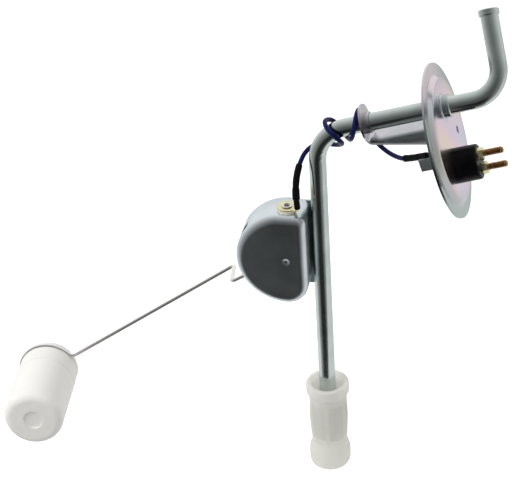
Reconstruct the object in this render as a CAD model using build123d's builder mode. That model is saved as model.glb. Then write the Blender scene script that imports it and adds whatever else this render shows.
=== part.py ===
# Fuel level sender with pick-up tube, float arm and strainer, in millimetres.
# +X is the outward normal of the round flange, +Z is up the flange, and the origin is the centre
# of the face that seats on the tank. The tube, the can and the float arm lie near the XZ plane.
from build123d import *
from math import asin, cos, degrees, pi, radians, sin, sqrt, tan
import os

os.makedirs("parts", exist_ok=True)

# Flange: a pressed disc with a flat rim and a raised middle
flange_radius = 41.5
flange_sheet = 1.2
dish_rise = 2.4
dish_shoulder_radius = 31.8
dish_foot_radius = 34.6
dish_bend_radius = 1.4
neck_wall = 1.4
neck_height = 3.6
neck_root_radius = 0.9
braze_gap = 0.05
vent_hole_radius = 2.15
vent_hole_y = 15.4
vent_hole_z = -2.9

# Pick-up tube: outlet leg, run through the flange, and the leg that goes down to the strainer
tube_diameter = 9.5
tube_wall = 0.9
tube_y = 3.0
tube_z = 18.2
outlet_x = 35.8
outlet_clock = 31.8
outlet_length = 44.6
outlet_bend_radius = 15.5
elbow_x = -67.0
elbow_bend_radius = 22.0
down_lean = 16.3
down_length = 203.0
bead_radius = 5.5
bead_length = 3.6
bead_edge = 0.65
foot_cut_angle = 18.0

# Gusset bracket between the tube and the flange
bracket_sheet = 1.2
ear_x = -40.0
ear_radius = 10.4
ear_neck_wall = 0.9
ear_neck_length = 2.8
bracket_width = 15.0
bracket_root_width = 47.0
floor_drop = 9.1
bracket_fold_radius = 2.0
foot_height = 6.0
foot_width = 30.0

# Can that houses the resistor, and the plate that it stands on
pivot_drop = 72.7
pivot_offset = 16.9
can_radius = 28.4
can_depth = 21.8
can_flat = 11.2
can_corner_radius = 12.0
can_top_radius = 5.0
can_pad_radius = 8.0
can_edge_radius = 4.2
can_wall = 0.8
can_pad_height = 27.7
plate_sheet = 1.5
plate_half_height = 27.2
plate_reach = 18.0
plate_corner_radius = 2.5
plate_inset = 0.6
weld_gap = 0.05
stake_radius = 2.2
stake_depth = 0.5
stake_point_radius = 0.8

# Pivot: shaft, bushes, hub and spring
shaft_radius = 2.0
running_gap = 0.05
press_gap = 0.02
bush_radius = 3.1
bush_flange_radius = 4.6
bush_flange = 0.8
front_bush_radius = 3.4
front_bush_length = 2.6
end_float = 0.15
shaft_tail = 3.0
clip_radius = 3.6
clip_thickness = 0.6
clip_groove_depth = 0.4
clip_gap = 0.2
clip_mouth = 2.4
arm_depth = 13.8
hub_radius = 4.6
hub_length = 6.2
hub_boss_radius = 3.3
spring_wire = 0.6
spring_coils = 4
spring_clearance = 0.45

# Float arm: one bent wire
arm_wire = 2.3
arm_rest_angle = 31.9
arm_swing = 68.0
arm_yaw = 8.7
jog_radius = 39.3
jog_length = 18.9
jog_bend = 2.6
arm_reach = 134.3
loop_entry_bend = 4.0
loop_turn = 286.0
slot_width = 4.6
slot_end_gap = 3.0
hub_socket = 0.5

# Float: a hollow moulding in two parts, with a groove for the wire
float_radius = 17.0
float_back = 7.0
float_front = 53.0
float_wall = 1.6
float_edge_radius = 4.5
float_seam = 13.0
groove_depth = 1.6
groove_clearance = 0.1
dimple_radius = 5.8
dimple_depth = 1.0

# Resistor: an arc-shaped card wound with wire, and the wiper that slides on it
card_inner_radius = 15.5
card_width = 5.0
card_sheet = 1.2
card_height = 5.0
card_start = 64.0
card_span = 88.0
winding_pitch = 3.0
winding_base = 0.1
winding_proud = 0.35
winding_width = 0.6
winding_margin = 5.0
post_width = 2.4
wiper_sheet = 0.4
wiper_width = 2.6
wiper_lead = 0.15
wiper_pip_radius = 0.8
wiper_margin = 10.0

# Insulated terminal on top of the can
terminal_depth = 10.8
rivet_radius = 1.6
rivet_bore = 1.0
rivet_head_radius = 2.9
rivet_head = 0.7
terminal_hole_radius = 2.6
sleeve_radius = 2.5
outer_washer_radius = 5.6
outer_washer = 1.3
inner_washer_radius = 4.4
inner_washer = 1.0
lug_radius = 5.4
lug_sheet = 0.6
lug_tab_width = 2.2
lug_tab_height = 0.8
lug_tab_offset = 8.0
lug_tab_clock = -33.0
strip_sheet = 0.4
strip_width = 6.0
strip_reach = 7.0

# Terminal block on the flange, with its two studs
block_radius = 9.4
block_length = 12.9
block_edge_radius = 1.3
block_y = -9.2
block_z = -10.8
stud_spacing = 8.4
stud_radius = 1.5
stud_shank_radius = 1.4
stud_end_x = 30.0
stud_clearance = 0.05
spigot_radius = 2.9
spigot_clearance = 0.15
inner_plate_thickness = 2.0
inner_plate_width = 8.0
head_width = 5.5
head_height = 2.4
nut_width = 6.0
nut_height = 2.4
washer_radius = 3.2
washer_thickness = 0.6
tab_sheet = 0.8
tab_length = 14.4
tab_height = 7.0
tab_rise = 1.8
tab_fold_radius = 0.9
strap_reach = 7.2

# Lead and its two shrink sleeves
lead_diameter = 2.6
shrink_wall = 0.5
shrink_gap = 0.05
sleeve_reach = 0.5
lug_solder_gap = 0.35
tab_solder_gap = 0.35
lead_end_inset = 4.9
lead_end_rise = 0.3

# Strainer: a moulded cage with a cup at the top, and mesh panels between its ribs
tube_insert = 38.0
cup_radius = 12.5
cup_height = 7.6
cup_depth = 4.6
cup_bore_radius = 9.8
cup_top_edge = 1.6
cup_foot_edge = 1.8
cup_lip_edge = 0.6
cage_floor = 2.0
neck_radius = 10.5
barrel_radius = 11.4
waist_radius = 10.2
cage_wall = 0.9
barrel_length = 33.4
base_shoulder = 7.0
base_radius = 12.1
base_length = 11.5
base_edge_radius = 5.0
cage_blend = 2.5
cage_ribs = 6
rib_width = 2.6
rib_clock = -64.0
window_inset = 5.0
window_length = 24.0
mesh_wall = 0.35
mesh_inset = 0.25
mesh_gap = 0.05
tube_grip_gap = 0.05

# Places worked out from the sizes above
tube_radius = tube_diameter / 2
seat_x = dish_rise
face_x = dish_rise + flange_sheet
down = Vector(-sin(radians(down_lean)), 0, -cos(radians(down_lean)))
up_tube = down * -1
across = Vector(cos(radians(down_lean)), 0, -sin(radians(down_lean)))
elbow = Vector(elbow_x, tube_y, tube_z)
outlet_corner = Vector(outlet_x, tube_y, tube_z)
outlet_up = Vector(0, sin(radians(outlet_clock)), cos(radians(outlet_clock)))
outlet_tip = outlet_corner + outlet_up * outlet_length
tube_foot = elbow + down * down_length
plate_y = tube_y + tube_radius + weld_gap
pivot = elbow + down * pivot_drop - across * pivot_offset
arm_radius = arm_wire / 2


def can_plane(depth):
    """Plane square to the pivot, depth in front of the back plate; x is across the tube, y up it."""
    origin = (pivot.X, plate_y - depth, pivot.Z)
    return Plane(origin=origin, x_dir=across, z_dir=(0, -1, 0))


def can_point(right, up, depth):
    """Point in the can: right across the tube, up along it, and in front of the back plate."""
    return can_plane(depth).from_local_coords(Vector(right, up, 0))


def tube_plane(distance):
    """Plane square to the leg that goes down, at a distance from the elbow's corner."""
    return Plane(origin=elbow + down * distance, x_dir=(0, -1, 0), z_dir=down)


def flange_plane(x):
    """Plane parallel to the flange: its x is Y and its y is Z."""
    return Plane.YZ.offset(x)


# Flange, with the neck drawn out round the tube and the holes for the block and the vent
with BuildPart() as flange:
    with BuildSketch(Plane.XY) as flange_section:
        with BuildLine():
            seat_side = FilletPolyline(
                (0, flange_radius),
                (0, dish_foot_radius),
                (dish_rise, dish_shoulder_radius),
                (dish_rise, 0),
                radius=dish_bend_radius,
            )
            offset(amount=flange_sheet, side=Side.LEFT)
        make_face()
    revolve(axis=Axis.X)
    with BuildSketch(flange_plane(face_x)):
        with Locations((tube_y, tube_z)):
            Circle(tube_radius + neck_wall)
    extrude(amount=neck_height)
    root_edges = flange.edges().filter_by(
        lambda e: e.geom_type == GeomType.CIRCLE
        and abs(e.radius - tube_radius - neck_wall) < flange_sheet / 10
        and abs(e.center().X - face_x) < flange_sheet / 10
    )
    fillet(root_edges, neck_root_radius)
    with BuildSketch(flange_plane(0)):
        with Locations((tube_y, tube_z)):
            Circle(tube_radius + braze_gap)
        with Locations((vent_hole_y, vent_hole_z)):
            Circle(vent_hole_radius)
        with Locations(
            (block_y, block_z + stud_spacing / 2), (block_y, block_z - stud_spacing / 2)
        ):
            Circle(spigot_radius + spigot_clearance)
    extrude(amount=face_x + neck_height, mode=Mode.SUBTRACT)
flange.part.label = "flange"
export_step(flange.part, "parts/flange.step")

# Pick-up tube, with a rolled hose bead at the outlet and a foot cut at a slant
with BuildPart() as pickup_tube:
    with BuildLine() as tube_path:
        FilletPolyline(
            outlet_tip,
            outlet_corner,
            elbow,
            tube_foot,
            radius=[outlet_bend_radius, elbow_bend_radius],
        )
    tip_plane = Plane(origin=outlet_tip, x_dir=(1, 0, 0), z_dir=outlet_up * -1)
    with BuildSketch(tip_plane):
        Circle(tube_radius)
    sweep(path=tube_path.wire())
    with BuildSketch(tip_plane):
        Circle(bead_radius)
    extrude(amount=bead_length)
    bead_edges = pickup_tube.edges().filter_by(
        lambda e: e.geom_type == GeomType.CIRCLE and abs(e.radius - bead_radius) < tube_wall / 10
    )
    fillet(bead_edges, bead_edge)
    with BuildSketch(tip_plane):
        Circle(tube_radius - tube_wall)
    sweep(path=tube_path.wire(), mode=Mode.SUBTRACT)
    foot_plane = Plane(origin=tube_foot, x_dir=(0, -1, 0), z_dir=down)
    cut_plane = foot_plane.offset(-tube_radius * sin(radians(foot_cut_angle))).rotated(
        (foot_cut_angle, 0, 0)
    )
    with BuildSketch(cut_plane):
        Circle(tube_diameter)
    extrude(amount=tube_diameter, mode=Mode.SUBTRACT)
pickup_tube.part.label = "pickup_tube"
export_step(pickup_tube.part, "parts/pickup_tube.step")

# Gusset bracket: an ear round the tube, folded into a floor that widens to a foot on the flange
floor_z = tube_z - floor_drop
bracket_corner = (ear_x, floor_z)
with BuildPart() as gusset_bracket:
    with BuildSketch(Plane.XZ.offset(-tube_y)) as bracket_section:
        with BuildLine():
            Polyline(
                (ear_x, tube_z),
                bracket_corner,
                (seat_x, floor_z),
                (seat_x, floor_z + bracket_sheet),
                (ear_x + bracket_sheet, floor_z + bracket_sheet),
                (ear_x + bracket_sheet, tube_z),
                close=True,
            )
        make_face()
        fold = bracket_section.vertices().sort_by_distance((*bracket_corner, 0))
        fillet(fold[0], bracket_fold_radius + bracket_sheet)
        fold = bracket_section.vertices().sort_by_distance(
            (ear_x + bracket_sheet, floor_z + bracket_sheet, 0)
        )
        fillet(fold[0], bracket_fold_radius)
    extrude(amount=bracket_root_width / 2, both=True)
    with BuildSketch(Plane.XY.offset(floor_z)):
        with BuildLine():
            Polyline(
                (ear_x, tube_y - bracket_width / 2),
                (seat_x, tube_y - bracket_root_width / 2),
                (seat_x, tube_y + bracket_root_width / 2),
                (ear_x, tube_y + bracket_width / 2),
                close=True,
            )
        make_face()
    extrude(amount=floor_drop, mode=Mode.INTERSECT)
    with BuildSketch(flange_plane(ear_x)):
        with Locations((tube_y, tube_z)):
            Circle(ear_radius)
        with Locations((tube_y, floor_z + bracket_fold_radius + bracket_sheet)):
            Rectangle(bracket_width, bracket_sheet, align=(Align.CENTER, Align.MIN))
        make_hull()
    extrude(amount=bracket_sheet)
    with BuildSketch(flange_plane(ear_x)):
        with Locations((tube_y, tube_z)):
            Circle(tube_radius + braze_gap + ear_neck_wall)
    extrude(amount=bracket_sheet + ear_neck_length)
    with BuildSketch(flange_plane(seat_x)):
        with Locations((tube_y, floor_z + bracket_sheet)):
            Rectangle(foot_width, foot_height, align=(Align.CENTER, Align.MAX))
    extrude(amount=-bracket_sheet)
    with BuildSketch(flange_plane(ear_x)):
        with Locations((tube_y, tube_z)):
            Circle(tube_radius + braze_gap)
    extrude(amount=bracket_sheet + ear_neck_length, mode=Mode.SUBTRACT)
gusset_bracket.part.label = "gusset_bracket"
export_step(gusset_bracket.part, "parts/gusset_bracket.step")

# Back plate that carries the can and is welded behind the tube
with BuildPart() as back_plate:
    with BuildSketch(can_plane(0)):
        Circle(can_radius - plate_inset)
        Rectangle(2 * can_radius, 2 * can_radius, align=(Align.MAX, Align.CENTER), mode=Mode.INTERSECT)
        Rectangle(plate_reach, 2 * plate_half_height, align=(Align.MIN, Align.CENTER))
    extrude(amount=-plate_sheet)
    reach_edges = back_plate.edges().filter_by(Axis.Y).sort_by(Axis(pivot, across))[-2:]
    fillet(reach_edges, plate_corner_radius)
    with BuildSketch(can_plane(0)):
        Circle(bush_radius + press_gap)
    extrude(amount=-plate_sheet, mode=Mode.SUBTRACT)
back_plate.part.label = "back_plate"
export_step(back_plate.part, "parts/back_plate.step")

# Can: a deep-drawn D-shaped shell, open at the back, slotted for the arm
slot_reach = 2 * can_radius
slot_low = 180 + arm_rest_angle + slot_end_gap
slot_high = 180 + arm_rest_angle - arm_swing - slot_end_gap
with BuildPart() as can_cover:
    with BuildSketch(can_plane(0)) as can_outline:
        Circle(can_radius)
        with Locations((can_flat - can_radius, can_pad_height - can_radius)):
            Rectangle(2 * can_radius, 2 * can_radius, mode=Mode.INTERSECT)
        fillet(can_outline.vertices().group_by(Axis.X)[-1].sort_by(Axis.Y)[0], can_corner_radius)
        fillet(can_outline.vertices().group_by(Axis.X)[-1].sort_by(Axis.Y)[-1], can_top_radius)
        fillet(can_outline.vertices().group_by(Axis.Y)[-1], can_pad_radius)
    extrude(amount=can_depth)
    front_edges = can_cover.faces().sort_by(Axis.Y)[0].edges()
    fillet(front_edges, can_edge_radius)
    offset(amount=-can_wall, openings=can_cover.faces().sort_by(Axis.Y)[-1])
    with BuildSketch(can_plane(arm_depth - slot_width / 2)):
        with BuildLine():
            Polyline(
                (0, 0),
                (slot_reach * cos(radians(slot_high)), slot_reach * sin(radians(slot_high))),
                (slot_reach * cos(radians(slot_low)), slot_reach * sin(radians(slot_low))),
                close=True,
            )
        make_face()
    extrude(amount=slot_width, mode=Mode.SUBTRACT)
    pad_plane = Plane(origin=can_point(0, can_pad_height, terminal_depth), z_dir=up_tube)
    with BuildSketch(pad_plane):
        Circle(terminal_hole_radius)
    extrude(amount=-2 * can_wall, mode=Mode.SUBTRACT)
    with BuildSketch(can_plane(can_depth)):
        Circle(stake_radius)
    with BuildSketch(can_plane(can_depth - stake_depth)):
        Circle(stake_point_radius)
    loft(mode=Mode.SUBTRACT)
can_cover.part.label = "can_cover"
export_step(can_cover.part, "parts/can_cover.step")

# Bushes: a flanged one in the back plate, a plain one behind the staked mark
with BuildPart() as rear_bush:
    with BuildSketch(can_plane(-plate_sheet)):
        Circle(bush_radius)
    extrude(amount=plate_sheet)
    with BuildSketch(can_plane(0)):
        Circle(bush_flange_radius)
    extrude(amount=bush_flange)
    with BuildSketch(can_plane(-plate_sheet)):
        Circle(shaft_radius + running_gap)
    extrude(amount=plate_sheet + bush_flange, mode=Mode.SUBTRACT)
rear_bush.part.label = "rear_bush"
export_step(rear_bush.part, "parts/rear_bush.step")

front_inside = can_depth - can_wall
with BuildPart() as front_bush:
    with BuildSketch(can_plane(front_inside)):
        Circle(front_bush_radius)
        Circle(shaft_radius + running_gap, mode=Mode.SUBTRACT)
    extrude(amount=-front_bush_length)
front_bush.part.label = "front_bush"
export_step(front_bush.part, "parts/front_bush.step")

# Pivot shaft, grooved at the tail for its clip
shaft_start = -plate_sheet - shaft_tail
clip_depth = -plate_sheet - clip_gap - clip_thickness
with BuildPart() as pivot_shaft:
    with BuildSketch(can_plane(shaft_start)):
        Circle(shaft_radius)
    extrude(amount=front_inside - end_float - shaft_start)
    with BuildSketch(can_plane(clip_depth - press_gap)):
        Circle(shaft_radius)
        Circle(shaft_radius - clip_groove_depth, mode=Mode.SUBTRACT)
    extrude(amount=clip_thickness + 2 * press_gap, mode=Mode.SUBTRACT)
    chamfer(pivot_shaft.edges().sort_by(Axis.Y)[-1], clip_groove_depth)
pivot_shaft.part.label = "pivot_shaft"
export_step(pivot_shaft.part, "parts/pivot_shaft.step")

with BuildPart() as shaft_clip:
    with BuildSketch(can_plane(clip_depth)):
        Circle(clip_radius)
        Circle(shaft_radius - clip_groove_depth + press_gap, mode=Mode.SUBTRACT)
        with Locations((0, -clip_radius)):
            Rectangle(clip_mouth, 2 * clip_radius, mode=Mode.SUBTRACT)
    extrude(amount=clip_thickness)
shaft_clip.part.label = "shaft_clip"
export_step(shaft_clip.part, "parts/shaft_clip.step")

# Float arm: a wire that leaves the hub, jogs back past the can and loops round the float
rest = radians(arm_rest_angle)
yaw = radians(arm_yaw)
outward = across * -cos(rest) + up_tube * -sin(rest)
jog_along = Vector(0, 1, 0) * cos(yaw) + outward * sin(yaw)
arm_along = outward * cos(yaw) - Vector(0, 1, 0) * sin(yaw)
arm_root = can_point(0, 0, arm_depth)
arm_start = arm_root + outward * (shaft_radius + hub_socket)
jog_in = arm_root + outward * jog_radius
jog_out = jog_in + jog_along * jog_length
loop_centre = jog_out + arm_along * arm_reach
loop_radius = float_radius - groove_depth + groove_clearance + arm_radius
loop_entry = sqrt((loop_radius + loop_entry_bend) ** 2 - loop_entry_bend**2)
loop_lift = degrees(asin(loop_entry_bend / (loop_radius + loop_entry_bend)))
loop_plane = Plane(origin=loop_centre, x_dir=arm_along, z_dir=jog_along)
with BuildPart() as float_arm:
    with BuildLine() as arm_path:
        arm_straight = FilletPolyline(
            arm_start,
            jog_in,
            jog_out,
            loop_centre - arm_along * loop_entry,
            radius=jog_bend,
        )
        with BuildLine(loop_plane):
            entry = JernArc((-loop_entry, 0), (1, 0), loop_entry_bend, 90 - loop_lift)
            JernArc(
                (-loop_radius * cos(radians(loop_lift)), loop_radius * sin(radians(loop_lift))),
                (sin(radians(loop_lift)), cos(radians(loop_lift))),
                loop_radius,
                -loop_turn,
            )
    with BuildSketch(Plane(origin=arm_start, z_dir=outward)):
        Circle(arm_radius)
    sweep(path=arm_path.wire())
float_arm.part.label = "float_arm"
export_step(float_arm.part, "parts/float_arm.step")

# Hub that clamps the wire on the shaft, with a boss for the wiper
hub_back = arm_depth - hub_length / 2
card_front = card_height + card_sheet
wiper_depth = card_front + winding_proud + wiper_lead + wiper_sheet
with BuildPart() as arm_hub:
    with BuildSketch(can_plane(hub_back)):
        Circle(hub_radius)
    extrude(amount=hub_length)
    with BuildSketch(can_plane(wiper_depth + wiper_sheet)):
        Circle(hub_boss_radius)
    extrude(amount=hub_back - wiper_depth - wiper_sheet)
    with BuildSketch(can_plane(wiper_depth + wiper_sheet)):
        Circle(shaft_radius + press_gap)
    extrude(amount=hub_back + hub_length - wiper_depth, mode=Mode.SUBTRACT)
    with BuildSketch(Plane(origin=arm_start, z_dir=outward)):
        Circle(arm_radius + press_gap)
    extrude(amount=hub_radius, mode=Mode.SUBTRACT)
arm_hub.part.label = "arm_hub"
export_step(arm_hub.part, "parts/arm_hub.step")

# Wiper: a spring leaf with a contact pip that rides on the winding
wiper_angle = card_start + wiper_margin + arm_swing
wiper_reach = card_inner_radius + card_width / 2
with BuildPart() as wiper:
    with BuildSketch(can_plane(wiper_depth)):
        Circle(hub_boss_radius)
        with Locations(Location((0, 0), wiper_angle)):
            with Locations((wiper_reach / 2, 0)):
                Rectangle(wiper_reach, wiper_width)
        with PolarLocations(wiper_reach, 1, start_angle=wiper_angle):
            Circle(wiper_width / 2)
        Circle(shaft_radius + press_gap, mode=Mode.SUBTRACT)
    extrude(amount=wiper_sheet)
    with BuildSketch(can_plane(wiper_depth)):
        with PolarLocations(wiper_reach, 1, start_angle=wiper_angle):
            Circle(wiper_pip_radius)
    extrude(amount=-wiper_sheet)
wiper.part.label = "wiper"
export_step(wiper.part, "parts/wiper.step")

# Thrust spring between the rear bush and the wiper
spring_radius = shaft_radius + spring_clearance + spring_wire / 2
spring_start = bush_flange + spring_wire / 2 + weld_gap
spring_height = wiper_depth - bush_flange - spring_wire - 2 * weld_gap
with BuildPart() as thrust_spring:
    with BuildLine() as spring_path:
        Helix(
            pitch=spring_height / spring_coils,
            height=spring_height,
            radius=spring_radius,
            center=can_point(0, 0, spring_start),
            direction=(0, -1, 0),
        )
    with BuildSketch(Plane(origin=spring_path.line @ 0, z_dir=spring_path.line % 0)):
        Circle(spring_wire / 2)
    sweep(path=spring_path.wire(), is_frenet=True)
thrust_spring.part.label = "thrust_spring"
export_step(thrust_spring.part, "parts/thrust_spring.step")


def annular_sector(inner, outer, start, stop):
    """Closed outline between two radii and two angles, about the pivot."""
    inner_arc = CenterArc((0, 0), inner, start, stop - start)
    outer_arc = CenterArc((0, 0), outer, start, stop - start)
    Line(inner_arc @ 0, outer_arc @ 0)
    Line(inner_arc @ 1, outer_arc @ 1)


# Resistor card, its winding as one layer with proud turns, and the posts that hold it
card_outer_radius = card_inner_radius + card_width
card_stop = card_start + card_span
with BuildPart() as resistor_card:
    with BuildSketch(can_plane(card_height)):
        with BuildLine():
            annular_sector(card_inner_radius, card_outer_radius, card_start, card_stop)
        make_face()
    extrude(amount=card_sheet)
resistor_card.part.label = "resistor_card"
export_step(resistor_card.part, "parts/resistor_card.step")

turn_length = card_width + 2 * winding_proud
turn_span = card_span - 2 * winding_margin
turn_count = int(turn_span / winding_pitch)
winding_start = card_start + winding_margin - winding_pitch / 2
winding_stop = winding_start + turn_count * winding_pitch
with BuildPart() as resistance_winding:
    with BuildSketch(can_plane(card_height - winding_base - press_gap)):
        with BuildLine():
            annular_sector(
                card_inner_radius - winding_base - press_gap,
                card_outer_radius + winding_base + press_gap,
                winding_start,
                winding_stop,
            )
        make_face()
    extrude(amount=card_sheet + 2 * winding_base + 2 * press_gap)
    with BuildSketch(can_plane(card_height - winding_proud)):
        with PolarLocations(
            wiper_reach,
            turn_count,
            winding_start + winding_pitch / 2,
            turn_count * winding_pitch,
        ):
            Rectangle(turn_length, winding_width)
    extrude(amount=card_sheet + 2 * winding_proud)
    with BuildSketch(can_plane(card_height - press_gap)):
        with BuildLine():
            annular_sector(
                card_inner_radius - press_gap, card_outer_radius + press_gap, card_start, card_stop
            )
        make_face()
    extrude(amount=card_sheet + 2 * press_gap, mode=Mode.SUBTRACT)
resistance_winding.part.label = "resistance_winding"
export_step(resistance_winding.part, "parts/resistance_winding.step")

with BuildPart() as card_posts:
    with BuildSketch(can_plane(0)):
        for post_angle in (card_start, card_stop):
            with PolarLocations(wiper_reach, 1, start_angle=post_angle):
                Rectangle(post_width * 2, post_width / 2)
    extrude(amount=card_height - weld_gap)
card_posts.part.label = "card_posts"
export_step(card_posts.part, "parts/card_posts.step")


def terminal_plane(height):
    """Plane square to the rivet on top of the can; its x runs across the tube."""
    return Plane(origin=can_point(0, height, terminal_depth), x_dir=across, z_dir=up_tube)


# Insulated rivet: outer washer, sleeved inner washer, lug, rivet and contact strip
with BuildPart() as outer_washer_disc:
    with BuildSketch(terminal_plane(can_pad_height)):
        Circle(outer_washer_radius)
        Circle(rivet_radius + press_gap, mode=Mode.SUBTRACT)
    extrude(amount=outer_washer)
outer_washer_disc.part.label = "terminal_washer"
export_step(outer_washer_disc.part, "parts/terminal_washer.step")

pad_inside = can_pad_height - can_wall
with BuildPart() as inner_insulator:
    with BuildSketch(terminal_plane(pad_inside - inner_washer)):
        Circle(inner_washer_radius)
    extrude(amount=inner_washer)
    with BuildSketch(terminal_plane(pad_inside)):
        Circle(sleeve_radius)
    extrude(amount=can_wall)
    with BuildSketch(terminal_plane(pad_inside - inner_washer)):
        Circle(rivet_radius + press_gap)
    extrude(amount=inner_washer + can_wall, mode=Mode.SUBTRACT)
inner_insulator.part.label = "terminal_bush"
export_step(inner_insulator.part, "parts/terminal_bush.step")

lug_height = can_pad_height + outer_washer
with BuildPart() as lead_lug:
    with BuildSketch(terminal_plane(lug_height)):
        Circle(lug_radius)
        with Locations(Location((0, 0), lug_tab_clock)):
            Rectangle(lug_tab_offset, lug_tab_width, align=(Align.MIN, Align.CENTER))
        Circle(rivet_radius + press_gap, mode=Mode.SUBTRACT)
    extrude(amount=lug_sheet)
    with BuildSketch(terminal_plane(lug_height)):
        with PolarLocations(lug_tab_offset, 1, start_angle=lug_tab_clock):
            Rectangle(lug_sheet, lug_tab_width, align=(Align.MAX, Align.CENTER))
    extrude(amount=lug_sheet + lug_tab_height)
lead_lug.part.label = "lead_lug"
export_step(lead_lug.part, "parts/lead_lug.step")

strip_top = pad_inside - inner_washer
rivet_foot = strip_top - strip_sheet
with BuildPart() as terminal_rivet:
    with BuildSketch(terminal_plane(rivet_foot - rivet_head)):
        Circle(rivet_radius + rivet_head / 2)
    extrude(amount=rivet_head)
    with BuildSketch(terminal_plane(rivet_foot - rivet_head)):
        Circle(rivet_radius)
    extrude(amount=lug_height + lug_sheet + rivet_head - rivet_foot + rivet_head)
    with BuildSketch(terminal_plane(lug_height + lug_sheet)):
        Circle(rivet_head_radius)
    extrude(amount=rivet_head)
    top_edge = terminal_rivet.edges().sort_by(Axis(pivot, up_tube))[-1]
    fillet(top_edge, rivet_head / 2)
    with BuildSketch(terminal_plane(lug_height)):
        Circle(rivet_bore)
    extrude(amount=lug_sheet + rivet_head, mode=Mode.SUBTRACT)
terminal_rivet.part.label = "terminal_rivet"
export_step(terminal_rivet.part, "parts/terminal_rivet.step")

# Contact strip from the rivet down to the end of the winding
strip_inner = strip_reach - strip_sheet
strip_low = sqrt((card_outer_radius + winding_proud + weld_gap) ** 2 - strip_inner**2)
strip_run = terminal_depth + strip_width / 2 - card_height
with BuildPart() as contact_strip:
    with BuildSketch(can_plane(card_height)):
        with Locations((strip_reach, strip_top)):
            Rectangle(strip_sheet, strip_top - strip_low, align=(Align.MAX, Align.MAX))
    extrude(amount=card_sheet)
    with BuildSketch(can_plane(card_height)):
        with Locations((strip_reach, strip_top)):
            Rectangle(strip_reach + rivet_radius + strip_sheet, strip_sheet, align=(Align.MAX, Align.MAX))
    extrude(amount=strip_run)
    with BuildSketch(terminal_plane(strip_top)):
        Circle(rivet_radius + press_gap)
    extrude(amount=-strip_sheet, mode=Mode.SUBTRACT)
contact_strip.part.label = "contact_strip"
export_step(contact_strip.part, "parts/contact_strip.step")

# Float: revolved about the jog's direction, in two shells that meet at a seam
float_plane = Plane(origin=loop_centre, x_dir=jog_along, z_dir=arm_along.cross(jog_along))
groove_half = arm_radius + groove_clearance
float_axis = Axis(loop_centre, jog_along)


with BuildSketch(Plane.XY) as float_section:
    for inset, how in ((0, Mode.ADD), (float_wall, Mode.SUBTRACT)):
        with BuildLine():
            FilletPolyline(
                (inset - float_front, 0),
                (inset - float_front, float_radius - inset),
                (float_back - inset, float_radius - inset),
                (float_back - inset, 0),
                radius=float_edge_radius - inset,
            )
            Line((float_back - inset, 0), (inset - float_front, 0))
        make_face(mode=how)

with BuildPart() as float_cap:
    with BuildSketch(float_plane):
        add(float_section.sketch)
        with Locations((-float_seam, 0)):
            Rectangle(2 * float_seam, 4 * float_radius, align=(Align.MIN, Align.CENTER), mode=Mode.INTERSECT)
    revolve(axis=float_axis)
    with BuildSketch(float_plane):
        with Locations((0, float_radius - groove_depth - float_wall)):
            Rectangle(
                2 * groove_half + 2 * float_wall, groove_depth, align=(Align.CENTER, Align.MIN)
            )
    revolve(axis=float_axis)
    with BuildSketch(float_plane):
        with Locations((0, float_radius)):
            Rectangle(2 * groove_half, 2 * groove_depth)
    revolve(axis=float_axis, mode=Mode.SUBTRACT)
float_cap.part.label = "float_cap"
export_step(float_cap.part, "parts/float_cap.step")

with BuildPart() as float_body:
    with BuildSketch(float_plane):
        add(float_section.sketch)
        with Locations((-float_seam, 0)):
            Rectangle(
                2 * float_front,
                4 * float_radius,
                align=(Align.MAX, Align.CENTER),
                mode=Mode.INTERSECT,
            )
    revolve(axis=float_axis)
    front_plane = Plane(origin=loop_centre - jog_along * float_front, z_dir=jog_along)
    with BuildSketch(front_plane):
        Circle(dimple_radius)
    extrude(amount=dimple_depth + float_wall)
    with BuildSketch(front_plane):
        Circle(dimple_radius)
    extrude(amount=dimple_depth, mode=Mode.SUBTRACT)
float_body.part.label = "float_body"
export_step(float_body.part, "parts/float_body.step")

# Terminal block: a black moulding with two spigots through the flange
stud_places = (
    (block_y, block_z + stud_spacing / 2),
    (block_y, block_z - stud_spacing / 2),
)
with BuildPart() as terminal_block:
    with BuildSketch(flange_plane(face_x)):
        with Locations((block_y, block_z)):
            Circle(block_radius)
    extrude(amount=block_length)
    block_front = terminal_block.faces().sort_by(Axis.X)[-1].edges()
    fillet(block_front, block_edge_radius)
    with BuildSketch(flange_plane(seat_x)):
        with Locations(*stud_places):
            Circle(spigot_radius)
    extrude(amount=flange_sheet)
    with BuildSketch(flange_plane(seat_x)):
        with Locations(*stud_places):
            Circle(stud_radius + stud_clearance)
    extrude(amount=flange_sheet + block_length, mode=Mode.SUBTRACT)
terminal_block.part.label = "terminal_block"
export_step(terminal_block.part, "parts/terminal_block.step")

inner_face_x = seat_x - inner_plate_thickness
with BuildPart() as block_insulator:
    with BuildSketch(flange_plane(seat_x)):
        with Locations((block_y, block_z)):
            SlotCenterToCenter(stud_spacing, inner_plate_width, rotation=90)
        with Locations(*stud_places):
            Circle(stud_radius + stud_clearance, mode=Mode.SUBTRACT)
    extrude(amount=-inner_plate_thickness)
block_insulator.part.label = "block_insulator"
export_step(block_insulator.part, "parts/block_insulator.step")

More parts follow.
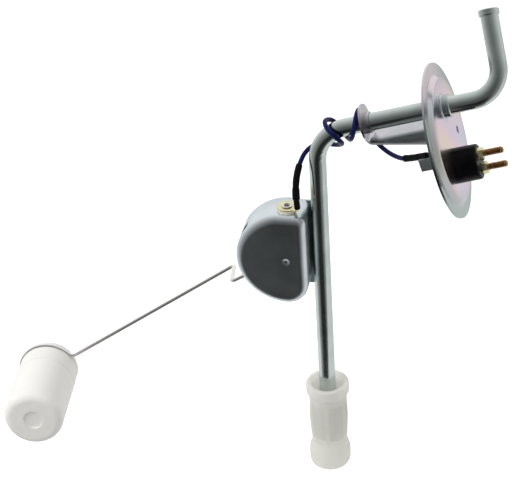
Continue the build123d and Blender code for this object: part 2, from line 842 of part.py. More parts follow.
# Two studs with hexagon heads inside the tank, full size beyond the nuts
head_x = inner_face_x - tab_sheet
nut_x = face_x + block_length + washer_thickness
nut_end_x = nut_x + nut_height
for stud_name, place in zip(("signal_stud", "earth_stud"), stud_places):
    with BuildPart() as stud:
        with BuildSketch(flange_plane(head_x)):
            with Locations(place):
                RegularPolygon(head_width / 2, 6, major_radius=False)
        extrude(amount=-head_height)
        with BuildSketch(flange_plane(head_x)):
            with Locations(place):
                Circle(stud_shank_radius)
        extrude(amount=nut_end_x - head_x)
        with BuildSketch(flange_plane(nut_end_x)):
            with Locations(place):
                Circle(stud_radius)
        extrude(amount=stud_end_x - nut_end_x)
        chamfer(stud.edges().sort_by(Axis.X)[-1], stud_radius / 4)
    stud.part.label = stud_name
    export_step(stud.part, f"parts/{stud_name}.step")

with BuildPart() as stud_washers:
    with BuildSketch(flange_plane(face_x + block_length)):
        with Locations(*stud_places):
            Circle(washer_radius)
            Circle(stud_radius + stud_clearance, mode=Mode.SUBTRACT)
    extrude(amount=washer_thickness)
stud_washers.part.label = "stud_washers"
export_step(stud_washers.part, "parts/stud_washers.step")

with BuildPart() as stud_nuts:
    with BuildSketch(flange_plane(nut_x)):
        with Locations(*stud_places):
            RegularPolygon(nut_width / 2, 6, major_radius=False)
            Circle(stud_shank_radius + stud_clearance, mode=Mode.SUBTRACT)
    extrude(amount=nut_height)
stud_nuts.part.label = "stud_nuts"
export_step(stud_nuts.part, "parts/stud_nuts.step")

# Signal tab: a foot under the stud's head and a leg that the lead is soldered to
signal_y, signal_z = stud_places[0]
leg_y = signal_y - inner_plate_width / 2
tab_top = signal_z + tab_rise + tab_height / 2
with BuildPart() as terminal_tab:
    with BuildSketch(Plane.XY.offset(tab_top)):
        with BuildLine():
            FilletPolyline(
                (inner_face_x, signal_y + inner_plate_width / 2),
                (inner_face_x, leg_y),
                (inner_face_x - tab_length, leg_y),
                radius=tab_fold_radius,
            )
            offset(amount=tab_sheet, side=Side.RIGHT)
        make_face()
    extrude(amount=-tab_height)
    with BuildSketch(flange_plane(inner_face_x)):
        with Locations(stud_places[0]):
            Circle(stud_radius + stud_clearance)
    extrude(amount=-2 * tab_sheet, mode=Mode.SUBTRACT)
terminal_tab.part.label = "terminal_tab"
export_step(terminal_tab.part, "parts/terminal_tab.step")

# Earth strap: a strip under the other head that turns back on to the flange
earth_y, earth_z = stud_places[1]
strap_width = head_width
with BuildPart() as earth_strap:
    with BuildSketch(Plane.XZ.offset(strap_width / 2 - earth_y)):
        with BuildLine():
            FilletPolyline(
                (inner_face_x, earth_z + strap_width / 2),
                (inner_face_x, earth_z - strap_reach + inner_plate_thickness),
                (seat_x - tab_sheet, earth_z - strap_reach),
                (seat_x - tab_sheet, earth_z - strap_reach - strap_width / 2),
                radius=tab_sheet / 2,
            )
            offset(amount=tab_sheet, side=Side.RIGHT)
        make_face()
    extrude(amount=-strap_width)
    with BuildSketch(flange_plane(inner_face_x)):
        with Locations(stud_places[1]):
            Circle(stud_radius + stud_clearance)
    extrude(amount=-2 * tab_sheet, mode=Mode.SUBTRACT)
earth_strap.part.label = "earth_strap"
export_step(earth_strap.part, "parts/earth_strap.step")

# Strainer cage: cup, ribbed barrel, waist and closed base, moulded in one
cup_top = down_length - tube_insert
cup_foot = cup_top + cup_height
waist = cup_foot + barrel_length
barrel_middle = (cup_foot + waist) / 2
base_top = waist + base_shoulder
base_bottom = base_top + base_length
window_top = cup_foot + window_inset
strainer_plane = Plane(origin=elbow, x_dir=down, z_dir=(0, 1, 0))
strainer_axis = Axis(elbow, down)
with BuildPart() as strainer_cage:
    with BuildSketch(strainer_plane) as cage_section:
        with BuildLine():
            Polyline(
                (cup_top, 0), (cup_top, cup_radius), (cup_foot, cup_radius), (cup_foot, neck_radius)
            )
            ThreePointArc(
                (cup_foot, neck_radius), (barrel_middle, barrel_radius), (waist, waist_radius)
            )
            Polyline(
                (waist, waist_radius),
                (base_top, base_radius),
                (base_bottom, base_radius),
                (base_bottom, 0),
                (cup_top, 0),
            )
        make_face()
        for distance, radius, edge in (
            (cup_top, cup_radius, cup_top_edge),
            (cup_foot, cup_radius, cup_foot_edge),
            (waist, waist_radius, cage_blend),
            (base_top, base_radius, cage_blend),
            (base_bottom, base_radius, base_edge_radius),
        ):
            fillet(cage_section.vertices().sort_by_distance((distance, radius, 0))[0], edge)
        with BuildLine():
            Polyline(
                (waist, 0),
                (cup_foot + cage_floor, 0),
                (cup_foot + cage_floor, neck_radius - cage_wall),
            )
            ThreePointArc(
                (cup_foot + cage_floor, neck_radius - cage_wall),
                (barrel_middle, barrel_radius - cage_wall),
                (waist, waist_radius - cage_wall),
            )
            Line((waist, waist_radius - cage_wall), (base_top, base_radius - cage_wall))
            FilletPolyline(
                (base_top, base_radius - cage_wall),
                (base_bottom - cage_wall, base_radius - cage_wall),
                (base_bottom - cage_wall, 0),
                radius=base_edge_radius - cage_wall,
            )
            Line((base_bottom - cage_wall, 0), (waist, 0))
        make_face(mode=Mode.SUBTRACT)
        with BuildLine():
            Polyline(
                (cup_top, 0),
                (cup_top, cup_bore_radius),
                (cup_top + cup_depth, cup_bore_radius),
                (cup_top + cup_depth, tube_radius + tube_grip_gap),
                (base_top, tube_radius + tube_grip_gap),
                (base_top, 0),
                close=True,
            )
        make_face(mode=Mode.SUBTRACT)
        fillet(
            cage_section.vertices().sort_by_distance((cup_top, cup_bore_radius, 0))[0], cup_lip_edge
        )
    revolve(axis=strainer_axis)
    with BuildSketch(tube_plane(window_top)):
        Circle(2 * barrel_radius)
        with PolarLocations(0, cage_ribs, start_angle=rib_clock):
            Rectangle(
                2 * barrel_radius, rib_width, align=(Align.MIN, Align.CENTER), mode=Mode.SUBTRACT
            )
    extrude(amount=window_length, mode=Mode.SUBTRACT)
strainer_cage.part.label = "strainer_cage"
export_step(strainer_cage.part, "parts/strainer_cage.step")

# Mesh panels, one in each window, just inside the ribs' outer face
with BuildPart() as strainer_mesh:
    with BuildSketch(strainer_plane):
        with BuildLine():
            outer_mesh = ThreePointArc(
                (cup_foot, neck_radius - mesh_inset),
                (barrel_middle, barrel_radius - mesh_inset),
                (waist, waist_radius - mesh_inset),
            )
            inner_mesh = ThreePointArc(
                (cup_foot, neck_radius - mesh_inset - mesh_wall),
                (barrel_middle, barrel_radius - mesh_inset - mesh_wall),
                (waist, waist_radius - mesh_inset - mesh_wall),
            )
            Line(outer_mesh @ 0, inner_mesh @ 0)
            Line(outer_mesh @ 1, inner_mesh @ 1)
        make_face()
    revolve(axis=strainer_axis)
    with BuildSketch(tube_plane(window_top + mesh_gap)):
        Circle(2 * barrel_radius)
        with PolarLocations(0, cage_ribs, start_angle=rib_clock):
            Rectangle(
                2 * barrel_radius,
                rib_width + 2 * mesh_gap,
                align=(Align.MIN, Align.CENTER),
                mode=Mode.SUBTRACT,
            )
    extrude(amount=window_length - 2 * mesh_gap, mode=Mode.INTERSECT)
strainer_mesh.part.label = "strainer_mesh"
export_step(strainer_mesh.part, "parts/strainer_mesh.step")

# Lead: a covered wire wound round the tube, from the lug on the can to the tab on the flange
lug_tip = lug_height + lug_sheet + lug_tab_height + lug_solder_gap
tail_clock = radians(lug_tab_clock)
lug_tail = lug_tab_offset - lug_sheet / 2
lead_route = [
    can_point(lug_tail * cos(tail_clock), lug_tip, terminal_depth - lug_tail * sin(tail_clock)),
    Vector(-86.6, -6.6, -8.5),
    Vector(-82.6, 0.5, 2.0),
    Vector(-77.3, 8.5, 7.5),
    Vector(-69.5, 12.5, 7.5),
    Vector(-61.3, 7.6, 6.8),
    Vector(-54.0, 0.8, 9.6),
    Vector(-53.8, -5.2, 15.8),
    Vector(-58.4, -3.8, 22.3),
    Vector(-60.8, 3.6, 24.8),
    Vector(-58.2, 11.0, 20.3),
    Vector(-55.0, 9.8, 12.4),
    Vector(-50.6, 2.6, 10.2),
    Vector(-46.7, -3.9, 14.6),
    Vector(-43.1, -3.9, 21.8),
    Vector(-41.8, 1.8, 25.6),
    Vector(-41.8, 9.4, 24.4),
    Vector(-41.9, 13.4, 17.5),
    Vector(-41.8, 13.0, 8.5),
    Vector(-39.8, 11.0, 1.5),
    Vector(-35.0, 7.5, -3.2),
    Vector(-29.5, 2.6, -4.9),
    Vector(-23.0, -3.4, -4.4),
    Vector(
        inner_face_x - tab_length + lead_end_inset,
        leg_y + tab_sheet + lead_diameter / 2 + shrink_gap + shrink_wall + tab_solder_gap,
        tab_top + lead_end_rise,
    ),
]
lead_runs = [after - before for before, after in zip(lead_route, lead_route[1:])]
lead_radii = []
for run_in, run_out in zip(lead_runs, lead_runs[1:]):
    half_turn = radians(run_in.get_angle(run_out)) / 2
    lead_radii.append(0.45 * min(run_in.length, run_out.length) / tan(half_turn))
print("lead arc radii:", [round(radius, 1) for radius in lead_radii])

with BuildPart() as lead_wire:
    with BuildLine() as lead_path:
        FilletPolyline(*lead_route, radius=lead_radii)
    with BuildSketch(Plane(origin=lead_route[0], z_dir=lead_runs[0])):
        Circle(lead_diameter / 2)
    sweep(path=lead_path.wire())
lead_wire.part.label = "lead_wire"
export_step(lead_wire.part, "parts/lead_wire.step")
lead_length = lead_path.wire().length
lead_volume = pi * (lead_diameter / 2) ** 2 * lead_length
print("lead length:", round(lead_length, 1))
print("lead volume against section times length:", round(lead_wire.part.volume / lead_volume, 4))

# Shrink sleeves over the lead's ends, each round the first corner from its end
shrink_bore = lead_diameter / 2 + shrink_gap
can_sleeve_end = lead_route[1] + lead_runs[1] * sleeve_reach
with BuildPart() as can_sleeve:
    with BuildLine() as can_sleeve_path:
        FilletPolyline(lead_route[0], lead_route[1], can_sleeve_end, radius=lead_radii[0])
    with BuildSketch(Plane(origin=lead_route[0], z_dir=lead_runs[0])):
        Circle(shrink_bore + shrink_wall)
        Circle(shrink_bore, mode=Mode.SUBTRACT)
    sweep(path=can_sleeve_path.wire())
can_sleeve.part.label = "can_sleeve"
export_step(can_sleeve.part, "parts/can_sleeve.step")

tank_sleeve_end = lead_route[-2] - lead_runs[-2] * sleeve_reach
with BuildPart() as tank_sleeve:
    with BuildLine() as tank_sleeve_path:
        FilletPolyline(lead_route[-1], lead_route[-2], tank_sleeve_end, radius=lead_radii[-1])
    with BuildSketch(Plane(origin=lead_route[-1], z_dir=-lead_runs[-1])):
        Circle(shrink_bore + shrink_wall)
        Circle(shrink_bore, mode=Mode.SUBTRACT)
    sweep(path=tank_sleeve_path.wire())
tank_sleeve.part.label = "tank_sleeve"
export_step(tank_sleeve.part, "parts/tank_sleeve.step")
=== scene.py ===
from math import pi, radians

import bmesh
import bpy
import numpy as np
from mathutils import Matrix, Vector


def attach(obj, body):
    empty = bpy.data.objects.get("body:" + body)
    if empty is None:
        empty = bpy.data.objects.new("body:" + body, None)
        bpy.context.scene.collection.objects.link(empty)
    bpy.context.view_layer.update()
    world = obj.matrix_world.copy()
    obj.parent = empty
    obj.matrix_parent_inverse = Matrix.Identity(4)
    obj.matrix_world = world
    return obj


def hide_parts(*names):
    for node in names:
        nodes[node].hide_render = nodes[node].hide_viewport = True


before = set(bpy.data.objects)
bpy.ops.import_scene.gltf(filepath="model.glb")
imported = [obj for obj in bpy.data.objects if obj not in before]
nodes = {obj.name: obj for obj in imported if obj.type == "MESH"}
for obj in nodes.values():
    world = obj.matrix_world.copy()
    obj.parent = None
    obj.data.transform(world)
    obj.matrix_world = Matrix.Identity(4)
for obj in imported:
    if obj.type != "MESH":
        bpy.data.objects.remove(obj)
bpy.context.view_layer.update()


# Plated steel, the finish shared by the flange, tube, can, bracket and plates: zinc over steel that
# was drawn or pressed. A node group gives the cloudy colour, the roughness and the fine relief, and
# each piece mixes its own two tones.
def shader_node(tree, kind, inputs=(), **settings):
    """New shader node in a tree, with its settings and the values of its input sockets."""
    made = tree.nodes.new("ShaderNode" + kind)
    for setting, value in settings.items():
        setattr(made, setting, value)
    for socket, value in dict(inputs).items():
        made.inputs[socket].default_value = value
    return made


def wire(tree, *links):
    """Joins nodes of a tree, each link as a node and its output, then a node and its input."""
    for source, output, target, socket in links:
        tree.links.new(source.outputs[output], target.inputs[socket])


# A Mix node has an A and a B for each kind of value. These are the places of its colour sockets.
tone_a, tone_b, mixed = 6, 7, 2

plating = bpy.data.node_groups.new("Plating", "ShaderNodeTree")
for label, kind, value in (
    ("Light tone", "NodeSocketColor", (0.7, 0.72, 0.72, 1)),
    ("Dark tone", "NodeSocketColor", (0.5, 0.53, 0.54, 1)),
    ("Cloud scale", "NodeSocketFloat", 60.0),
    ("Roughness", "NodeSocketFloat", 0.3),
    ("Relief", "NodeSocketFloat", 0.02),
):
    socket = plating.interface.new_socket(name=label, in_out="INPUT", socket_type=kind)
    socket.default_value = value
for label, kind in (
    ("Colour", "NodeSocketColor"), ("Roughness", "NodeSocketFloat"), ("Normal", "NodeSocketVector"),
):
    plating.interface.new_socket(name=label, in_out="OUTPUT", socket_type=kind)
plate_in = plating.nodes.new("NodeGroupInput")
plate_out = plating.nodes.new("NodeGroupOutput")
plate_where = shader_node(plating, "TexCoord")
plate_clouds = shader_node(plating, "TexNoise", {"Detail": 4.0})
plate_grain = shader_node(plating, "TexNoise", {"Scale": 1800.0, "Detail": 3.0})
plate_share = shader_node(plating, "MapRange", {"From Min": 0.35, "From Max": 0.65})
plate_mix = shader_node(plating, "Mix", data_type="RGBA")
plate_spread = shader_node(plating, "MapRange", {"To Min": -0.06, "To Max": 0.06})
plate_rough = shader_node(plating, "Math", operation="ADD")
plate_bump = shader_node(plating, "Bump", {"Distance": 0.00005})
wire(
    plating,
    (plate_where, "Object", plate_clouds, "Vector"),
    (plate_where, "Object", plate_grain, "Vector"),
    (plate_in, "Cloud scale", plate_clouds, "Scale"),
    (plate_clouds, "Fac", plate_share, "Value"),
    (plate_share, "Result", plate_mix, "Factor"),
    (plate_in, "Dark tone", plate_mix, tone_a),
    (plate_in, "Light tone", plate_mix, tone_b),
    (plate_clouds, "Fac", plate_spread, "Value"),
    (plate_in, "Roughness", plate_rough, 0),
    (plate_spread, "Result", plate_rough, 1),
    (plate_grain, "Fac", plate_bump, "Height"),
    (plate_in, "Relief", plate_bump, "Strength"),
    (plate_mix, mixed, plate_out, "Colour"),
    (plate_rough, 0, plate_out, "Roughness"),
    (plate_bump, "Normal", plate_out, "Normal"),
)


def plated(name, light, dark, roughness, metallic=1.0, cloud_scale=60.0, relief=0.1, shine=0.5):
    """Material whose colour, roughness and relief come from the plating group."""
    material = bpy.data.materials.new(name)
    material.use_nodes = True
    tree = material.node_tree
    shader = tree.nodes["Principled BSDF"]
    shader.inputs["Metallic"].default_value = metallic
    shader.inputs["Specular IOR Level"].default_value = shine
    tones = {"Light tone": (*light, 1), "Dark tone": (*dark, 1), "Cloud scale": cloud_scale}
    skin = {"Roughness": roughness, "Relief": relief}
    effect = shader_node(tree, "Group", {**tones, **skin}, node_tree=plating)
    wire(
        tree,
        (effect, "Colour", shader, "Base Color"),
        (effect, "Roughness", shader, "Roughness"),
        (effect, "Normal", shader, "Normal"),
    )
    return material


def dress(material, *names):
    """Gives the CAD nodes of these names the material in every slot."""
    for name in names:
        for slot in nodes[name].material_slots:
            slot.material = material


# Flange: a pressed steel disc with a chromate film over its zinc, so that it shines pink, lilac and
# straw in soft patches. The colours run over one another on the face and turn grey-green at the rim
# and where the neck was drawn. The top of the rim is painted lighter and pinker: painted light.
leg_y, leg_z = 0.003, 0.0182  # middle line of the tube's leg that goes through the neck
film_tints = (
    (0.30, (0.60, 0.68, 0.76, 1)),
    (0.42, (0.74, 0.66, 0.82, 1)),
    (0.52, (0.88, 0.66, 0.74, 1)),
    (0.62, (0.90, 0.72, 0.66, 1)),
    (0.72, (0.86, 0.78, 0.62, 1)),
)
# Rim tones: grey-green, and a lighter, pinker painted highlight for the top of the rim.
low_rim, rim_top_painted_light = (0.38, 0.47, 0.44, 1), (0.64, 0.58, 0.61, 1)
neck_grey = (0.50, 0.58, 0.58, 1)
across = (0, 1, 1)  # leaves a point's place in the disc's own plane

film = plated("Chromated flange", (0.78, 0.66, 0.70), (0.64, 0.66, 0.74), 0.22, cloud_scale=34.0)
film_tree = film.node_tree
film_shader = film_tree.nodes["Principled BSDF"]
film_where = shader_node(film_tree, "TexCoord")
film_patches = shader_node(film_tree, "TexNoise", {"Scale": 26.0, "Detail": 2.0})
film_ramp = shader_node(film_tree, "ValToRGB")
stops = film_ramp.color_ramp.elements
stops[0].position, stops[0].color = film_tints[0]
stops[1].position, stops[1].color = film_tints[-1]
for place, tint in film_tints[1:-1]:
    stops.new(place).color = tint

film_split = shader_node(film_tree, "SeparateXYZ")
# Painted highlight mask: it rises with height, so the top of the rim takes the lighter, pinker tone.
film_rim_top_light = shader_node(film_tree, "MapRange", {"From Min": 0.026, "From Max": 0.036})
film_rim_lit_top = shader_node(film_tree, "Mix", {tone_a: low_rim, tone_b: rim_top_painted_light}, data_type="RGBA")
film_centre = shader_node(film_tree, "VectorMath", {1: across}, operation="MULTIPLY")
film_radius = shader_node(film_tree, "VectorMath", operation="LENGTH")
film_rim = shader_node(film_tree, "MapRange", {"From Min": 0.026, "From Max": 0.038})
film_mix = shader_node(film_tree, "Mix", data_type="RGBA")
film_off = shader_node(film_tree, "VectorMath", {1: (0, leg_y, leg_z)}, operation="SUBTRACT")
film_flat = shader_node(film_tree, "VectorMath", {1: across}, operation="MULTIPLY")
film_reach = shader_node(film_tree, "VectorMath", operation="LENGTH")
film_neck = shader_node(
    film_tree, "MapRange", {"From Min": 0.0062, "From Max": 0.0092, "To Min": 1.0, "To Max": 0.0}
)
film_last = shader_node(film_tree, "Mix", {tone_b: neck_grey}, data_type="RGBA")
wire(
    film_tree,
    (film_where, "Object", film_patches, "Vector"),
    (film_patches, "Fac", film_ramp, "Fac"),
    (film_where, "Object", film_split, 0),
    (film_split, "Z", film_rim_top_light, "Value"),
    (film_rim_top_light, "Result", film_rim_lit_top, "Factor"),
    (film_where, "Object", film_centre, 0),
    (film_centre, "Vector", film_radius, 0),
    (film_radius, "Value", film_rim, "Value"),
    (film_rim, "Result", film_mix, "Factor"),
    (film_ramp, "Color", film_mix, tone_a),
    (film_rim_lit_top, mixed, film_mix, tone_b),
    (film_where, "Object", film_off, 0),
    (film_off, "Vector", film_flat, 0),
    (film_flat, "Vector", film_reach, 0),
    (film_reach, "Value", film_neck, "Value"),
    (film_neck, "Result", film_last, "Factor"),
    (film_mix, mixed, film_last, tone_a),
    (film_last, mixed, film_shader, "Base Color"),
)
dress(film, "flange")


# Pick-up tube: drawn steel tube of 9.5 mm, bent on a former and zinc plated. It goes through the
# flange's neck, and its plating is satin along its length.
tube_radius = 0.00475
tube_zinc = plated("Zinc on drawn tube", (0.61, 0.68, 0.66), (0.50, 0.57, 0.55), 0.17, relief=0.05)
dress(tube_zinc, "pickup_tube")


# Gusset bracket: folded sheet steel, brazed round the tube and spot welded to the flange, plated in
# one with them.
bracket_zinc = plated(
    "Zinc on folded sheet", (0.64, 0.59, 0.63), (0.48, 0.50, 0.52), 0.20, cloud_scale=40.0
)
dress(bracket_zinc, "gusset_bracket")


# Brazed joints: a small fillet of filler where the tube passes the flange's neck and the bracket's
# ear, plated over with the rest.
same_place = 0.0000001  # points nearer than this are one


def surface(name, points, closed_u, closed_v, material, body):
    """Mesh from a grid of points: row i and column j join to the next row and column, round if closed,
    and points in one place, as at a pole, become one."""
    rows, columns = points.shape[:2]
    i, j = np.meshgrid(
        np.arange(rows if closed_u else rows - 1),
        np.arange(columns if closed_v else columns - 1),
        indexing="ij",
    )
    i, j = i.ravel(), j.ravel()
    after_i, after_j = (i + 1) % rows, (j + 1) % columns
    faces = np.stack(
        [i * columns + j, after_i * columns + j, after_i * columns + after_j, i * columns + after_j], 1
    )
    mesh = bpy.data.meshes.new(name)
    mesh.from_pydata(points.reshape(-1, 3).tolist(), [], faces.tolist())
    shell = bmesh.new()
    shell.from_mesh(mesh)
    bmesh.ops.remove_doubles(shell, verts=shell.verts, dist=same_place)
    shell.to_mesh(mesh)
    shell.free()
    mesh.shade_smooth()
    mesh.materials.append(material)
    piece = bpy.data.objects.new(name, mesh)
    bpy.context.scene.collection.objects.link(piece)
    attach(piece, body)
    return piece


def braze_ring(name, x, reach, side):
    """A quarter-round fillet between the tube and a plate at x: at angle a round the tube's axis, its
    section runs from the plate, reach outside the tube, to the tube, reach along it, with a slow
    ripple in the reach round the joint. Its edges lie a little under the tube's and plate's skin."""
    under_tube, under_plate = 0.00001, 0.00005
    around = -side * np.linspace(0, 2 * pi, 96, endpoint=False)[:, None]
    section = np.linspace(0, pi / 2, 7)[None, :]
    size = reach * (1 + 0.16 * np.sin(3 * around + 0.7) + 0.08 * np.sin(7 * around))
    radius = tube_radius - under_tube + size * (1 - np.sin(section))
    along = x + side * size * (1 - np.cos(section)) - side * under_plate
    y, z = leg_y + radius * np.sin(around), leg_z + radius * np.cos(around)
    points = np.stack(np.broadcast_arrays(along, y, z), -1)
    surface(name, points, True, False, tube_zinc, "sender")


braze_ring("flange_braze", 0.0072, 0.0009, 1)
braze_ring("ear_braze", -0.0400, 0.0010, -1)


# Creases low on the elbow's side: the bending tool pressed the tube's wall there, and left two soft
# waves in the steel under its plating.
def creases(name, centre, bend, start, end, middle):
    """Patch on a bend: at angle a round the bend's centre and b round the tube from the bend's inner
    side, the tube's radius rises and falls in two soft waves along a, fading away from the middle
    angle and towards both ends, where it lies just under the tube's skin."""
    under_tube, height = 0.00002, 0.00011
    half_width, fade_width = 0.8, 0.30
    share = np.linspace(0, 1, 90)[:, None]
    a = start + (end - start) * share
    b = middle + np.linspace(-half_width, half_width, 48)[None, :]
    fade = np.sin(pi * share) ** 0.7 * np.exp(-(((b - middle) / fade_width) ** 2))
    wave = 0.5 - 0.5 * np.cos(2 * pi * (2 * share + 0.5 * (b - middle)))
    radius = tube_radius - under_tube + height * fade * wave
    out = bend - radius * np.cos(b)
    x, z = centre[0] + out * np.cos(a), centre[2] + out * np.sin(a)
    y = centre[1] + radius * np.sin(b)
    points = np.stack(np.broadcast_arrays(x, y, z), -1)
    surface(name, points, False, False, tube_zinc, "sender")


creases("elbow_creases", (-0.05051, 0.0030, -0.0038), 0.0220, radians(138), radians(163), -1.05)


# Can and its back plate: deep-drawn shell on a flat plate. The drawing leaves fine lines down the
# side wall and a smooth front. The material here gives the whole shell the same cloudy tones and fine
# grain and draws no lines, and the front looks darker only where it mirrors the room's dark side.
can_zinc = plated("Zinc on drawn can", (0.70, 0.76, 0.80), (0.58, 0.63, 0.66), 0.31, cloud_scale=45.0)
dress(can_zinc, "can_cover")
plate_zinc = plated("Zinc on plate", (0.80, 0.88, 0.88), (0.70, 0.78, 0.78), 0.40)
dress(plate_zinc, "back_plate", "terminal_tab", "earth_strap")


def spot_weld(name, x, z):
    """Mark of a spot weld on the plate's back: at a distance r from its middle the face dips a little
    inside and stands proud as a round ridge, and it runs out level at the mark's edge."""
    plate_back, proud = 0.0093, 0.00001
    mark_radius, ridge_radius, ridge_width, ridge_height = 0.0027, 0.0019, 0.00035, 0.00014
    r = np.linspace(0, mark_radius, 16)[:, None]
    around = np.linspace(2 * pi, 0, 40, endpoint=False)[None, :]
    ridge = ridge_height * np.exp(-(((r - ridge_radius) / ridge_width) ** 2)) + proud
    points = np.stack(
        np.broadcast_arrays(x + r * np.cos(around), plate_back + ridge, z + r * np.sin(around)), -1
    )
    surface(name, points, False, True, plate_zinc, "sender")


spot_weld("upper_weld", -0.0835, -0.0381)
spot_weld("lower_weld", -0.0913, -0.0650)


# Mechanism inside the can: turned brass bushes and hub, hard steel shaft, clip and spring, a wound
# resistor on a laminated card and sprung bronze contacts.
turned_brass = plated("Turned brass", (0.74, 0.58, 0.30), (0.66, 0.50, 0.26), 0.28)
dress(turned_brass, "front_bush", "rear_bush", "arm_hub")
bright_steel = plated("Bright steel", (0.88, 0.87, 0.85), (0.80, 0.79, 0.77), 0.32, relief=0.05)
dress(bright_steel, "pivot_shaft", "shaft_clip", "thrust_spring", "float_arm")
bronze = plated("Contact bronze", (0.72, 0.50, 0.30), (0.62, 0.42, 0.25), 0.25)
dress(bronze, "wiper", "contact_strip", "resistance_winding")
board = plated("Laminated board", (0.36, 0.20, 0.10), (0.28, 0.15, 0.07), 0.55, metallic=0.0)
dress(board, "resistor_card")


# Insulated terminal on the can: pressed cream washers, a lug with a straw-coloured chromate film and
# a hollow rivet rolled over it.
cream = plated(
    "Cream insulator", (0.84, 0.80, 0.68), (0.78, 0.73, 0.60), 0.5, metallic=0.0, cloud_scale=300.0
)
dress(cream, "terminal_washer", "terminal_bush", "block_insulator")
straw = plated("Straw chromate", (0.80, 0.76, 0.48), (0.70, 0.66, 0.40), 0.26, cloud_scale=220.0)
dress(straw, "lead_lug", "stud_washers")
rolled = plated("Rolled rivet", (0.80, 0.78, 0.72), (0.66, 0.64, 0.58), 0.22, cloud_scale=300.0)


def round_axis(origin, axis, aside, around, radius, height):
    """Points round an axis: height along it from the origin, and radius out from it at an angle that
    starts square to both the axis and the direction aside."""
    along = np.array(axis) / np.linalg.norm(axis)
    side = np.cross(along, aside)
    side /= np.linalg.norm(side)
    up = np.cross(side, along)
    return (
        np.array(origin)
        + (height + 0 * around)[..., None] * along
        + (radius * np.cos(around))[..., None] * side
        + (radius * np.sin(around))[..., None] * up
    )


def rivet(name, foot, axis, foot_height, lug_top):
    """Tubular rivet, revolved about its axis: a plain stem and foot, and a head rolled over the lug
    as a half round, with a mouth that flares out of the deep bore."""
    bore_floor = lug_top - 0.0030
    stem_radius, foot_radius, foot_end = 0.00160, 0.00195, foot_height - 0.0007
    roll_middle, roll_half_width = 0.00228, 0.00082
    roll_rise, roll_height = 0.00022, 0.00056
    roll = np.linspace(pi, 0, 15)
    profile = np.concatenate([
        [(0, bore_floor), (0.00108, bore_floor), (0.00110, lug_top - 0.0029)],
        [(0.00112, lug_top - 0.0002), (0.00122, lug_top + 0.0001)],
        np.stack([
            roll_middle + roll_half_width * np.cos(roll), lug_top + roll_rise + roll_height * np.sin(roll),
        ], -1),
        [(0.00310, lug_top + 0.00002), (0.00306, lug_top), (stem_radius, lug_top)],
        [(stem_radius, foot_height), (foot_radius, foot_height), (foot_radius, foot_end), (0, foot_end)],
    ])
    around = np.linspace(0, 2 * pi, 48, endpoint=False)[:, None]
    points = round_axis(foot, axis, (0, 1, 0), around, profile[None, :, 0], profile[None, :, 1])
    piece = surface(name, points, True, False, rolled, "sender")
    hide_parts("terminal_rivet")


rivet("rolled_rivet", (-0.103625, -0.0030, -0.046835), (0.28067, 0, 0.95981), 0.0255, 0.0296)


# Float: two milky plastic mouldings welded at a seam, slightly see-through at the edges, with a
# faint mottling from the mould.
def moulded(name, light, dark, roughness, relief, inside, depth, through, clear=0.0):
    """Plastic whose colour and relief come from the plating group, with light spread under its skin,
    a share of it let through, and a share of that going on straight if it is clear."""
    material = plated(name, light, dark, roughness, 0.0, 90.0, relief, 0.3)
    tree = material.node_tree
    shader = tree.nodes["Principled BSDF"]
    shader.inputs["Subsurface Weight"].default_value = inside
    shader.inputs["Subsurface Radius"].default_value = depth
    shader.inputs["Subsurface Scale"].default_value = 1.0
    shader.inputs["IOR"].default_value = 1.5
    glow = shader_node(tree, "BsdfTranslucent", {"Color": (*light, 1)})
    last = shader_node(tree, "MixShader", {"Fac": through})
    wire(tree, (shader, "BSDF", last, 1), (glow, "BSDF", last, 2))
    if clear:
        straight = shader_node(tree, "BsdfTransparent")
        thin = shader_node(tree, "MixShader", {"Fac": clear})
        wire(tree, (last, "Shader", thin, 1), (straight, "BSDF", thin, 2))
        last = thin
    wire(tree, (last, "Shader", tree.nodes["Material Output"], "Surface"))
    return material


milky = moulded(
    "Milky plastic", (0.975, 0.955, 0.905), (0.955, 0.935, 0.885), 0.40,
    relief=0.25, inside=0.25, depth=(0.002, 0.002, 0.002), through=0.05,
)
dress(milky, "float_cap", "float_body")


def float_seam(name, centre, axis):
    """Weld bead round the float: at angle a round the axis its section is a low arc, wide along the
    axis and proud of the shell, and the height wavers slowly with a."""
    shell_radius, height, half_width = 0.01696, 0.00014, 0.0007
    around = np.linspace(2 * pi, 0, 120, endpoint=False)[:, None]
    section = np.linspace(0, pi, 9)[None, :]
    radius = shell_radius + height * np.sin(section) * (1 + 0.2 * np.sin(5 * around))
    points = round_axis(centre, axis, (0, 0, 1), around, radius, -half_width * np.cos(section))
    surface(name, points, True, False, milky, "arm")


float_seam("float_weld", (-0.270201, -0.020482, -0.093343), (0.14569, -0.98849, 0.04068))


# Terminal block: a glossy black moulding that insulates the two studs from the flange. The card's
# posts inside the can are the same plastic.
black = plated(
    "Black moulding", (0.005, 0.005, 0.006), (0.002, 0.002, 0.003), 0.28,
    metallic=0.0, cloud_scale=200.0, shine=0.07,
)
dress(black, "terminal_block", "card_posts")


# Studs and nuts: the studs are turned from brass with a coppery tarnish, and the nuts have a straw
# film. A rolled thread runs from the nut to the chamfer at the end of each stud.
copper = plated("Tarnished brass", (0.46, 0.28, 0.13), (0.30, 0.17, 0.07), 0.26, cloud_scale=500.0)
dress(copper, "signal_stud", "earth_stud")
dress(straw, "stud_nuts")


